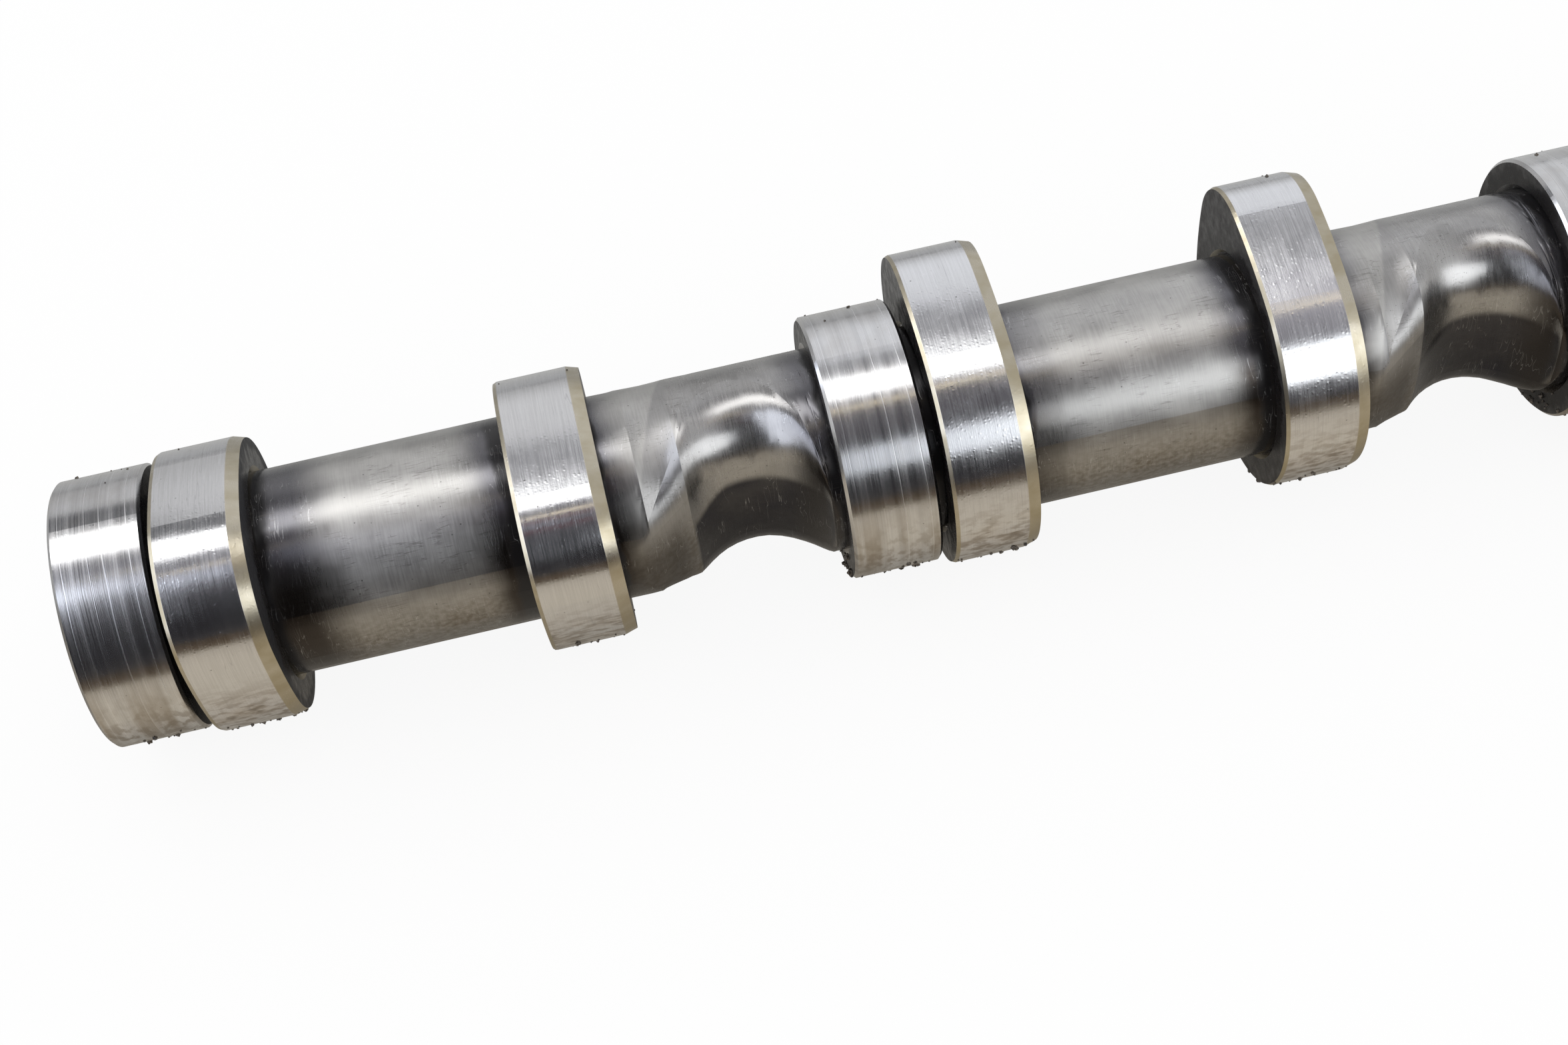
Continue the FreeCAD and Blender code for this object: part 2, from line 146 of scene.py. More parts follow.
def distance_from_axis(tree):
    flat_place = shader_node(tree, "VectorMath", {0: place_in_mm(tree), 1: (0, 1, 1)},
                             operation="MULTIPLY").outputs[0]
    return shader_node(tree, "VectorMath", {0: flat_place}, operation="LENGTH").outputs["Value"]


def facing_along(tree):
    """1 on faces towards the drive end, -1 on faces towards the free end, 0 on round ones."""
    return split(tree, shader_node(tree, "TexCoord").outputs["Normal"])[0]


def new_effect(name, inputs, outputs=("Value",)):
    """Empty node group of plain numbers, with its input and output nodes."""
    group = bpy.data.node_groups.new(name, "ShaderNodeTree")
    for socket, value in inputs.items():
        made = group.interface.new_socket(socket, in_out="INPUT", socket_type="NodeSocketFloat")
        made.default_value = value
    for socket in outputs:
        group.interface.new_socket(socket, in_out="OUTPUT", socket_type="NodeSocketFloat")
    return group, group.nodes.new("NodeGroupInput").outputs, group.nodes.new("NodeGroupOutput").inputs


def use_effect(tree, group, **inputs):
    return shader_node(tree, "Group", inputs, node_tree=group).outputs


def pattern(tree, group, **inputs):
    """The value of an effect that puts out only one."""
    return use_effect(tree, group, **inputs)["Value"]


# grain, an uneven tone: so many spots to a millimetre along the shaft and around it
grain, given, result = new_effect("grain", {"Along": 1.0, "Around": 1.0, "Detail": 3.0})
counts = shader_node(grain, "CombineXYZ", {0: given["Along"], 1: given["Around"], 2: given["Around"]})
spots = shader_node(grain, "VectorMath", {0: place_in_mm(grain), 1: counts.outputs[0]}, operation="MULTIPLY")
tone = shader_node(grain, "TexNoise", {"Vector": spots.outputs[0], "Scale": 1.0, "Detail": given["Detail"]})
grain.links.new(tone.outputs[0], result["Value"])

# scratches: thin lines, longer the way that they are counted less, with gaps where Breaks is 1
LINE_LEVEL = 0.5
GAP_LEVELS = (0.58, 0.48)
scratches, given, result = new_effect(
    "scratches", {"Along": 1.0, "Around": 0.1, "Width": 0.01, "Breaks": 1.0})
stretched = pattern(scratches, grain, Along=given["Along"], Around=given["Around"], Detail=1.0)
off_line = calculate(scratches, "ABSOLUTE", subtract(scratches, stretched, LINE_LEVEL))
on_line = ease(scratches, off_line, given["Width"], 0.0)
gaps = ease(scratches, pattern(scratches, grain, Along=0.35, Around=0.3, Detail=1.0), *GAP_LEVELS)
kept = subtract(scratches, 1.0, multiply(scratches, gaps, given["Breaks"]))
scratches.links.new(multiply(scratches, on_line, kept), result["Value"])

# specks: round spots of pitting or dirt, on a share of the cells they could lie in
specks, given, result = new_effect("specks", {"Count": 1.0, "Share": 0.1, "Size": 0.3})
cells = shader_node(specks, "TexVoronoi", {"Vector": place_in_mm(specks), "Scale": given["Count"]})
chance = shader_node(specks, "SeparateColor", {0: cells.outputs["Color"]}).outputs[0]
chosen = calculate(specks, "LESS_THAN", chance, given["Share"])
inside = ease(specks, cells.outputs["Distance"], given["Size"], 0.0)
specks.links.new(multiply(specks, chosen, inside), result["Value"])


def along_shaft(name):
    low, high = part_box(name)
    return MM_PER_METRE * low[0], MM_PER_METRE * high[0]


ring_start, ring_end = along_shaft("journal_ring_1")
first_start, first_end = along_shaft("cam_1a")
second_start, second_end = along_shaft("cam_1b")
next_ring = along_shaft("journal_ring_2")[0]
spacing = next_ring - ring_start
between_cams = (first_end + second_start) / 2 - ring_start
CREASE_BEFORE_RING = 17.7
crease_past_ring = next_ring - CREASE_BEFORE_RING - ring_start


def past_ring(tree, along):
    """How far a place lies past the start of the journal ring before it."""
    return calculate(tree, "FLOORED_MODULO", subtract(tree, along, ring_start), spacing)


# smoke and shade: black against a ring or cam and fading along the tube, partly an oily smoke film and
# partly painted shade, the dark reflection of the neighbouring side faces; at every cylinder in the same
# places, but past a first cam it reaches farther on the first cylinder than on the others
SMOKE_AND_SHADE_ALONG = [
    (ring_end, 1.0), (first_end + 0.6, 1.0), (first_end + 1.6, 0.8), (first_end + 4.5, 0.7),
    (first_end + 7.0, 0.4), (first_end + 10.5, 0.0), (second_start - 6.5, 0.0),
    (second_start - 4.2, 0.35), (second_start - 2.7, 0.65), (second_start - 1.5, 0.95),
    (second_start, 1.0), (second_end + 0.3, 1.0), (second_end + 1.2, 0.55), (second_end + 3.0, 0.25),
    (second_end + 5.5, 0.0), (next_ring - 6.0, 0.0), (next_ring - 3.5, 0.45),
    (next_ring - 1.2, 0.75), (next_ring - 0.4, 1.0),
]
SMOKE_AND_SHADE_WANDER = 0.6
HALF_CHANGE = 2.0
STEEPER_LATER = 2.0
smoke_and_shade, _, result = new_effect("smoke_and_shade", {})
along = split(smoke_and_shade, place_in_mm(smoke_and_shade))[0]
uneven = pattern(smoke_and_shade, grain, Along=0.08, Around=0.13, Detail=3.0)
wander = spread(smoke_and_shade, uneven, -SMOKE_AND_SHADE_WANDER, SMOKE_AND_SHADE_WANDER)
from_ring = past_ring(smoke_and_shade, add(smoke_and_shade, along, wander))
stops = [((place - ring_start) / spacing, (level, level, level)) for place, level in SMOKE_AND_SHADE_ALONG]
fade = levels_along(smoke_and_shade, calculate(smoke_and_shade, "DIVIDE", from_ring, spacing), stops)
shorter = multiply(smoke_and_shade, ease(smoke_and_shade, from_ring, between_cams + HALF_CHANGE, between_cams - HALF_CHANGE),
                   ease(smoke_and_shade, along, second_end, next_ring))
steepness = add(smoke_and_shade, 1.0, multiply(smoke_and_shade, shorter, STEEPER_LATER))
smoke_and_shade.links.new(calculate(smoke_and_shade, "POWER", fade, steepness), result["Value"])


def new_steel(name):
    material = bpy.data.materials.new(name)
    material.use_nodes = True
    shader = material.node_tree.nodes["Principled BSDF"]
    shader.inputs["Metallic"].default_value = 1
    return material, material.node_tree, shader


def finish_steel(tree, shader, colour, roughness, height, depth):
    """Connect a steel's colour and roughness, and its height as a relief of a depth in metres."""
    relief = shader_node(tree, "Bump", {"Height": height, "Distance": depth, "Strength": 1.0})
    tree.links.new(colour, shader.inputs["Base Color"])
    tree.links.new(roughness, shader.inputs["Roughness"])
    tree.links.new(relief.outputs[0], shader.inputs["Normal"])


def give_steel(material, *beginnings):
    """Lay a steel on every node whose name begins in one of these ways."""
    for name, node in cad_nodes.items():
        if name.startswith(beginnings):
            node.material_slots[0].material = material


BRIGHT_TUBE = (0.37, 0.362, 0.348, 1)
DULL_TUBE = (0.29, 0.284, 0.278, 1)
BROWN_FILM = (0.135, 0.118, 0.096, 1)
DARK_FILM = (0.042, 0.036, 0.032, 1)
# painted shade for the floor of a saddle
SADDLE_FLOOR_SHADE = (0.03, 0.029, 0.034, 1)
# colours of the smoke beside the rings and cams, partly an oily film and partly painted shade
SMOKE_AND_SHADE_TINT = (0.12, 0.118, 0.126, 1)
SMOKE_SHADE_AND_PIT_BLACK = (0.014, 0.013, 0.014, 1)
BRIGHT_MARK = (0.6, 0.6, 0.6, 1)
DARK_STREAK = (0.08, 0.072, 0.065, 1)
PALE_DUST = (0.4, 0.4, 0.42, 1)
OUTSIDE_FACING = (0.95, 0.85)

# pairs of heights over the axis and of distances past the crease, in millimetres, run from
# where an effect starts to where it is full
tube_steel, tree, shader = new_steel("tube_steel")
shader.inputs["Specular IOR Level"].default_value = 0.3
along, across, up = split(tree, place_in_mm(tree))
from_axis = distance_from_axis(tree)
from_ring = past_ring(tree, along)
past_crease = subtract(tree, from_ring, crease_past_ring)
outside = ease(tree, calculate(tree, "ABSOLUTE", facing_along(tree)), *OUTSIDE_FACING)
smoke_and_shade_mask = multiply(tree, pattern(tree, smoke_and_shade), outside)
cloud = pattern(tree, grain, Along=0.13, Around=0.2, Detail=4.0)
mottle = pattern(tree, grain, Along=1.3, Around=1.6, Detail=3.0)
polish = pattern(tree, grain, Along=6.0, Around=0.35, Detail=1.0)

# duller steel from a slanting line onwards, where the press took hold of the tube
DULL_PAST_CAM = 6.5
DULL_SLANT = 0.31
DULL_EDGE = 0.25
slanted = past_ring(tree, subtract(tree, along, multiply(tree, across, DULL_SLANT)))
dull_start = second_end + DULL_PAST_CAM - ring_start
dull = ease(tree, slanted, dull_start - DULL_EDGE, dull_start + DULL_EDGE)
colour = blend(tree, dull, BRIGHT_TUBE, DULL_TUBE)

# brown film low down, darkest between the second cam and the crease
FILM_HEIGHTS = (6.5, -1.5)
DARK_FILM_HEIGHTS = (7.0, 0.0)
DARK_FILM_PAST_CREASE = (0.2, -2.5)
UNDER_CAM = 1.0
patchy = add(tree, spread(tree, cloud, low=0.5, high=0.85), spread(tree, mottle, low=-0.2, high=0.2))
colour = lay(tree, colour, BROWN_FILM, multiply(tree, ease(tree, up, *FILM_HEIGHTS), patchy))
cam_past_ring = second_end - ring_start
by_cam = multiply(tree, ease(tree, from_ring, cam_past_ring - UNDER_CAM, cam_past_ring),
                  ease(tree, past_crease, *DARK_FILM_PAST_CREASE), ease(tree, up, *DARK_FILM_HEIGHTS))
colour = lay(tree, colour, DARK_FILM, by_cam, most=0.6)

# painted shade on the floor of a saddle, a dark patch standing for the shaded ground under the shaft that
# the floor mirrors; it reaches higher towards the ring
SADDLE_SHADE_HEIGHTS = (2.4, 0.9)
SADDLE_SHADE_RISE = 2.4
RISE_PAST_CREASE = (0.0, 5.0)
SADDLE_SHADE_PAST_CREASE = (0.05, 0.4)
SADDLE_FROM_AXIS = (12.2, 11.5)
saddle_shade_rise = multiply(tree, ease(tree, past_crease, *RISE_PAST_CREASE), SADDLE_SHADE_RISE)
saddle_shade = multiply(tree, ease(tree, subtract(tree, up, saddle_shade_rise), *SADDLE_SHADE_HEIGHTS),
                 ease(tree, past_crease, *SADDLE_SHADE_PAST_CREASE), ease(tree, from_axis, *SADDLE_FROM_AXIS))
colour = lay(tree, colour, SADDLE_FLOOR_SHADE, multiply(tree, saddle_shade, spread(tree, cloud, low=0.85, high=1.0)))
fine_tone = add(tree, spread(tree, polish, low=-0.05, high=0.05), spread(tree, cloud, low=0.86, high=1.14))
colour = shader_node(tree, "VectorMath", {0: colour, "Scale": fine_tone}, operation="SCALE").outputs[0]

# smoke and painted shade, browner low down than on top, and black where it is thickest
BROWNER_HEIGHTS = (11.5, 7.5)
THIN_SMOKE_AND_SHADE = (0.0, 0.75)
THICK_SMOKE_AND_SHADE = (0.74, 1.0)
smoke_and_shade_colour = blend(tree, ease(tree, up, *BROWNER_HEIGHTS), SMOKE_AND_SHADE_TINT, DARK_FILM)
colour = lay(tree, colour, smoke_and_shade_colour, ease(tree, smoke_and_shade_mask, *THIN_SMOKE_AND_SHADE))
black = ease(tree, smoke_and_shade_mask, *THICK_SMOKE_AND_SHADE)
colour = lay(tree, colour, SMOKE_SHADE_AND_PIT_BLACK, black)

# pits, crowded in patches of the duller steel, then marks, streaks, and dust on the smoke
PITTED_CLOUD = (0.5, 0.62)
few_pits = pattern(tree, specks, Count=1.6, Share=0.05, Size=0.22)
many_pits = pattern(tree, specks, Count=3.5, Share=0.3, Size=0.3)
crowded = multiply(tree, dull, ease(tree, cloud, *PITTED_CLOUD), many_pits)
pits = calculate(tree, "MAXIMUM", few_pits, crowded)
marks = pattern(tree, scratches, Along=2.0, Around=0.25, Width=0.014)
streaks = pattern(tree, scratches, Along=0.16, Around=2.4, Width=0.024)
dust = pattern(tree, specks, Count=1.9, Share=0.12, Size=0.12)
colour = lay(tree, colour, SMOKE_SHADE_AND_PIT_BLACK, pits, most=0.8)
colour = lay(tree, colour, BRIGHT_MARK, marks, most=0.25)
colour = lay(tree, colour, DARK_STREAK, streaks, most=0.38)
colour = lay(tree, colour, PALE_DUST, multiply(tree, dust, smoke_and_shade_mask))

# rougher where the tube falls to the crease, smoother where it was pressed or is smoky
TUBE_ROUGHNESS = (0.33, 0.40)
POLISH_ROUGHNESS = (-0.02, 0.02)
FALL_START = (-8.0, -5.0)
FALL_END = (0.4, -0.4)
PRESSED_START = (-0.4, 1.0)
ROUGHER_FALL = 0.05
SMOOTHER_SMOKE = 0.15
SMOOTHER_PRESSED = 0.1
TUBE_METALLIC = 0.95
LESS_WHERE_BLACK = 0.6
MARK_HEIGHT = 0.3
TUBE_RELIEF = 0.000005
falling = multiply(tree, ease(tree, past_crease, *FALL_START), ease(tree, past_crease, *FALL_END))
pressed = ease(tree, past_crease, *PRESSED_START)
smoother = calculate(tree, "MAXIMUM", multiply(tree, smoke_and_shade_mask, SMOOTHER_SMOKE),
                     multiply(tree, pressed, SMOOTHER_PRESSED))
roughness = add(tree, spread(tree, cloud, *TUBE_ROUGHNESS), spread(tree, polish, *POLISH_ROUGHNESS))
roughness = add(tree, roughness, multiply(tree, falling, ROUGHER_FALL))
roughness = subtract(tree, roughness, smoother)
metallic = subtract(tree, TUBE_METALLIC, multiply(tree, black, LESS_WHERE_BLACK))
tree.links.new(metallic, shader.inputs["Metallic"])
calm_mottle = multiply(tree, mottle, ease(tree, smoke_and_shade_mask, start=0.9, end=0.0))
height = add(tree, calm_mottle, subtract(tree, multiply(tree, marks, MARK_HEIGHT), pits))
finish_steel(tree, shader, colour, roughness, height, TUBE_RELIEF)
give_steel(tube_steel, "tube")


# End plug and drive end with its dowel: turned from bar, so their marks run round the shaft
# and round their faces. The plug closes the free end of the tube, the drive end the other.
# None of them shows in the photograph, so they are finished plainly.
TURNED_DARK = (0.44, 0.435, 0.43, 1)
TURNED_BRIGHT = (0.54, 0.535, 0.53, 1)
OLD_OIL = (0.33, 0.29, 0.24, 1)
TURNED_ROUGHNESS = (0.22, 0.34)
MARKS_PER_MM = 6.0
TURNED_RELIEF = 0.000008

turned_steel, tree, shader = new_steel("turned_steel")
turning = pattern(tree, grain, Along=7.0, Around=0.05, Detail=3.0)
rings = shader_node(tree, "TexNoise", {"W": distance_from_axis(tree), "Scale": MARKS_PER_MM, "Detail": 3.0},
                    noise_dimensions="1D").outputs[0]
marks = multiply(tree, add(tree, turning, rings), 0.5)
cloud = pattern(tree, grain, Along=0.15, Around=0.15, Detail=3.0)
colour = blend(tree, spread(tree, marks, low=0.0, high=1.0), TURNED_DARK, TURNED_BRIGHT)
colour = lay(tree, colour, OLD_OIL, spread(tree, cloud, low=0.0, high=0.4))
roughness = add(tree, spread(tree, marks, *TURNED_ROUGHNESS), spread(tree, cloud, low=-0.03, high=0.05))
finish_steel(tree, shader, colour, roughness, marks, TURNED_RELIEF)
give_steel(turned_steel, "end_plug", "drive_end", "timing_dowel")


# Journal rings: steel rings pressed on the tube and ground with the shaft to run in plain bearings. Running
# left lines round them and brown bands of varnish low down; their side faces never touch anything and are
# dark, with an oily black ring round the tube. Those towards the drive end carry painted shade, darker and
# matt.
GRAPHITE = (0.11, 0.107, 0.105, 1)
DARK_GRAPHITE = (0.05, 0.047, 0.045, 1)
# painted shade for the side faces towards the drive end
SHADED_GRAPHITE = (0.02, 0.02, 0.022, 1)
SIDE_BLACK = (0.01, 0.009, 0.009, 1)
SIDE_ROUGHNESS = (0.42, 0.55)
OIL_SMOOTHER = 0.2
MATT_LESS_METALLIC = 0.95
SIDE_FACING = (0.75, 0.9)
OIL_PAST_TUBE = (3.6, 2.2)
OIL_WANDER = 0.6
FREE_END_DRY = (0.4, 0.8)
GAP_REACH = (0.15, 0.05)

seat_radius = MM_PER_METRE * (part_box("tube")[1][1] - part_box("tube")[0][1]) / 2
faces, _, result = new_effect("faces", {}, ["Side", "Shaded_Matt", "Oil", "Gap"])
turned_away = facing_along(faces)
side = ease(faces, calculate(faces, "ABSOLUTE", turned_away), *SIDE_FACING)
ragged = spread(faces, pattern(faces, grain, Along=0.3, Around=0.5, Detail=4.0), -OIL_WANDER, OIL_WANDER)
past_tube = subtract(faces, add(faces, distance_from_axis(faces), ragged), seat_radius)
along = split(faces, place_in_mm(faces))[0]
past_free_end = subtract(faces, along, ring_start)
oil = multiply(faces, ease(faces, past_tube, *OIL_PAST_TUBE), ease(faces, past_free_end, *FREE_END_DRY))
gap_middle = (ring_end + first_start) / 2 - ring_start
half_gap = (first_start - ring_end) / 2
off_gap = calculate(faces, "ABSOLUTE", subtract(faces, past_ring(faces, along), gap_middle))
in_gap = ease(faces, subtract(faces, off_gap, half_gap), *GAP_REACH)
faces.links.new(side, result["Side"])
faces.links.new(ease(faces, turned_away, *SIDE_FACING), result["Shaded_Matt"])
faces.links.new(oil, result["Oil"])
faces.links.new(multiply(faces, side, in_gap), result["Gap"])


def darken_sides(tree, shader, colour, roughness):
    """Graphite side faces, darker and matt towards the drive end as painted shade, each with its oily ring,
    black in the gaps.
    """
    face = use_effect(tree, faces)
    pitted = pattern(tree, specks, Count=2.6, Share=0.25, Size=0.3)
    mottle = pattern(tree, grain, Along=1.0, Around=0.8, Detail=3.0)
    oil_and_gap = calculate(tree, "MAXIMUM", face["Oil"], face["Gap"])
    side_colour = blend(tree, spread(tree, mottle, low=0.0, high=0.7), GRAPHITE, DARK_GRAPHITE)
    # painted shade: the side faces towards the drive end darker and matt
    side_colour = lay(tree, side_colour, SHADED_GRAPHITE, face["Shaded_Matt"])
    side_colour = lay(tree, side_colour, SIDE_BLACK, pitted)
    # black on the oily ring round the tube, and all over the side faces in the gap between a ring and a cam
    side_colour = lay(tree, side_colour, SIDE_BLACK, oil_and_gap)
    side_roughness = subtract(tree, spread(tree, mottle, *SIDE_ROUGHNESS),
                              multiply(tree, oil_and_gap, OIL_SMOOTHER))
    dull_share = calculate(tree, "MAXIMUM", face["Shaded_Matt"], multiply(tree, oil_and_gap, face["Side"]))
    metallic = subtract(tree, 1.0, multiply(tree, dull_share, MATT_LESS_METALLIC))
    tree.links.new(metallic, shader.inputs["Metallic"])
    shader.inputs["Specular IOR Level"].default_value = 0.15
    colour = lay(tree, colour, side_colour, face["Side"])
    roughness = shader_node(tree, "Mix", {0: face["Side"], 2: roughness, 3: side_roughness}).outputs[0]
    return colour, roughness


PATCH_LEVELS = (0.42, 0.62)


def low_patches(tree, up, heights, noise):
    """Patches of a noise, which come out between a height over the axis and a lower one."""
    return multiply(tree, ease(tree, up, *heights), ease(tree, noise, *PATCH_LEVELS))


DARK_BAND = (0.47, 0.47, 0.475, 1)
BRIGHT_BAND = (0.59, 0.59, 0.595, 1)
RUNNING_LINE = (0.34, 0.33, 0.32, 1)
VARNISH = (0.26, 0.222, 0.18, 1)
VARNISH_HEIGHTS = (9.0, -4.0)
RING_STAIN = (0.19, 0.155, 0.115, 1)
RING_STAIN_HEIGHTS = (6.0, -9.0)
GREY_HAZE = (0.38, 0.36, 0.34, 1)
BRIGHT_GROOVE = (0.75, 0.75, 0.77, 1)
BROWN_DOT = (0.08, 0.065, 0.055, 1)
GROOVE_LEVELS = (0.63, 0.7)
BAND_ROUGHNESS = (0.15, 0.21)
LINE_ROUGHNESS = (-0.02, 0.06)
GROOVE_ROUGHNESS = 0.12
DENT_HEIGHT = 0.5
RING_RELIEF = 0.000004

journal_steel, tree, shader = new_steel("journal_steel")
up = split(tree, place_in_mm(tree))[2]
bands = pattern(tree, grain, Along=0.8, Around=0.004, Detail=2.0)
lines = pattern(tree, grain, Along=6.0, Around=0.006, Detail=1.0)
glaze = pattern(tree, grain, Along=0.5, Around=0.03, Detail=3.0)
cloud = pattern(tree, grain, Along=0.4, Around=0.3, Detail=4.0)
stain = pattern(tree, grain, Along=0.9, Around=0.7, Detail=4.0)
grooves = ease(tree, pattern(tree, grain, Along=2.3, Around=0.002, Detail=1.0), *GROOVE_LEVELS)
dots = pattern(tree, specks, Count=1.3, Share=0.09, Size=0.15)
dents = pattern(tree, specks, Count=2.2, Share=0.35, Size=0.5)
colour = blend(tree, spread(tree, bands, low=0.0, high=1.0), DARK_BAND, BRIGHT_BAND)
colour = lay(tree, colour, RUNNING_LINE, spread(tree, lines, low=0.0, high=0.24))
colour = lay(tree, colour, VARNISH, low_patches(tree, up, VARNISH_HEIGHTS, glaze), most=0.8)
colour = lay(tree, colour, RING_STAIN, low_patches(tree, up, RING_STAIN_HEIGHTS, stain))
colour = lay(tree, colour, GREY_HAZE, spread(tree, cloud, low=-0.1, high=0.28))
colour = lay(tree, colour, BRIGHT_GROOVE, grooves, most=0.3)
colour = lay(tree, colour, BROWN_DOT, dots, most=0.8)
roughness = add(tree, spread(tree, bands, *BAND_ROUGHNESS), spread(tree, lines, *LINE_ROUGHNESS))
roughness = add(tree, roughness, multiply(tree, grooves, GROOVE_ROUGHNESS))
colour, roughness = darken_sides(tree, shader, colour, roughness)
height = add(tree, multiply(tree, dents, DENT_HEIGHT), subtract(tree, lines, grooves))
finish_steel(tree, shader, colour, roughness, height, RING_RELIEF)
give_steel(journal_steel, "journal_ring")


# Cams: hardened steel lobes pressed on the tube, ground across their faces to a bright finish
# with fine marks. Their edge breaks and the taper towards the drive end were left unground,
# and are dull and yellowish. Low down they carry thin brown smears.
GROUND_DARK = (0.515, 0.515, 0.52, 1)
GROUND_BRIGHT = (0.56, 0.56, 0.568, 1)
WARM_FILM = (0.42, 0.36, 0.29, 1)
WARM_FILM_HEIGHTS = (5.0, -5.0)
CAM_STAIN = (0.20, 0.16, 0.12, 1)
CAM_STAIN_HEIGHTS = (7.0, -9.0)
BROWN_SMEAR = (0.15, 0.12, 0.09, 1)
SMEAR_LEVELS = (0.44, 0.54)
FINE_MARK = (0.25, 0.25, 0.26, 1)
DARK_DOT = (0.05, 0.045, 0.04, 1)
GROUND_ROUGHNESS = (0.16, 0.20)
CLOUD_ROUGHNESS = (-0.02, 0.04)
GRINDING_HEIGHT = 0.6
CAM_RELIEF = 0.000006

cam_steel, tree, shader = new_steel("cam_steel")
along, _, up = split(tree, place_in_mm(tree))
ground = pattern(tree, grain, Along=7.0, Around=0.15, Detail=2.0)
sparkle = pattern(tree, grain, Along=4.0, Around=4.0, Detail=2.0)
waves = pattern(tree, grain, Along=0.3, Around=0.25, Detail=1.0)
cloud = pattern(tree, grain, Along=0.22, Around=0.35, Detail=4.0)
stain = pattern(tree, grain, Along=0.55, Around=1.1, Detail=4.0)
fine_marks = pattern(tree, scratches, Along=1.2, Around=0.05, Width=0.01)
smears = pattern(tree, scratches, Along=0.1, Around=0.7, Width=0.07, Breaks=0.7)
dents = pattern(tree, specks, Count=2.1, Share=0.4, Size=0.5)
dots = pattern(tree, specks, Count=1.1, Share=0.09, Size=0.16)
low_down = ease(tree, up, *WARM_FILM_HEIGHTS)
smeared = multiply(tree, low_down, ease(tree, cloud, *SMEAR_LEVELS), smears)
colour = blend(tree, spread(tree, ground, low=0.0, high=1.0), GROUND_DARK, GROUND_BRIGHT)
colour = lay(tree, colour, WARM_FILM, multiply(tree, low_down, spread(tree, cloud, low=0.0, high=0.5)))
colour = lay(tree, colour, CAM_STAIN, low_patches(tree, up, CAM_STAIN_HEIGHTS, stain))
colour = lay(tree, colour, BROWN_SMEAR, smeared, most=0.85)
colour = lay(tree, colour, FINE_MARK, fine_marks, most=0.3)
colour = lay(tree, colour, DARK_DOT, dots, most=0.85)
roughness = add(tree, spread(tree, ground, *GROUND_ROUGHNESS), spread(tree, cloud, *CLOUD_ROUGHNESS))

# the unground bands, in millimetres from a cam's two side faces
UNGROUND_PALE = (0.42, 0.385, 0.31, 1)
UNGROUND_DARK = (0.34, 0.30, 0.215, 1)
UNGROUND_LOW = (0.28, 0.23, 0.13, 1)
FRONT_BAND = 0.45
FRONT_BLUR = 0.06
BACK_BAND = 1.5
BACK_BLUR = 0.08
BAND_ROUGHER = 0.12
from_ring = past_ring(tree, along)
is_second = calculate(tree, "GREATER_THAN", from_ring, between_cams)
cam_start = add(tree, first_start - ring_start, multiply(tree, is_second, second_start - first_start))
into_cam = subtract(tree, from_ring, cam_start)
back_band = first_end - first_start - BACK_BAND
band = calculate(tree, "MAXIMUM", ease(tree, into_cam, FRONT_BAND + FRONT_BLUR, FRONT_BAND - FRONT_BLUR),
                 ease(tree, into_cam, back_band - BACK_BLUR, back_band + BACK_BLUR))
band_colour = blend(tree, spread(tree, cloud, low=0.0, high=1.0), UNGROUND_PALE, UNGROUND_DARK)
band_colour = lay(tree, band_colour, UNGROUND_LOW, low_down, most=0.6)
colour = lay(tree, colour, band_colour, band)
roughness = add(tree, roughness, multiply(tree, band, BAND_ROUGHER))
colour, roughness = darken_sides(tree, shader, colour, roughness)
grinding = multiply(tree, add(tree, ground, sparkle), GRINDING_HEIGHT)
height = add(tree, add(tree, waves, dents), grinding)
finish_steel(tree, shader, colour, roughness, height, CAM_RELIEF)
give_steel(cam_steel, "cam_")


# Residue: crumbs of dried oil and grinding dirt that cling to the lower and upper stretches of
# the rings and cams, and thicker to the rings' side faces where the saddles end.
DARK_CRUMB = (0.022, 0.019, 0.017, 1)
PALE_CRUMB = (0.14, 0.115, 0.09, 1)
CRUMB_ROUGHNESS = (0.3, 0.6)

residue_look = bpy.data.materials.new("residue_look")
residue_look.use_nodes = True
tree = residue_look.node_tree
shader = tree.nodes["Principled BSDF"]
shader.inputs["Metallic"].default_value = 0.3
crumbly = pattern(tree, grain, Along=4.0, Around=4.0, Detail=3.0)
colour = blend(tree, spread(tree, crumbly, low=0.0, high=1.0), DARK_CRUMB, PALE_CRUMB)
tree.links.new(colour, shader.inputs["Base Color"])
tree.links.new(spread(tree, crumbly, *CRUMB_ROUGHNESS), shader.inputs["Roughness"])

# crumbs: dented balls at random places on a mesh, turned any way, most of them small
BALL_DENTS = 1.6
DENT_DEPTH = 2.2
ANY_TURN = (6.3, 6.3, 6.3)
FEW_LARGE = 2.5
SMALLEST_SHARE = 0.3
crumbs = bpy.data.node_groups.new("crumbs", "GeometryNodeTree")
for socket, kind in (("Geometry", "Geometry"), ("Count per Area", "Float"), ("Largest Size", "Float"),
                     ("Seed", "Int")):
    crumbs.interface.new_socket(socket, in_out="INPUT", socket_type="NodeSocket" + kind)
crumbs.interface.new_socket("Geometry", in_out="OUTPUT", socket_type="NodeSocketGeometry")
given = crumbs.nodes.new("NodeGroupInput").outputs
result = crumbs.nodes.new("NodeGroupOutput").inputs

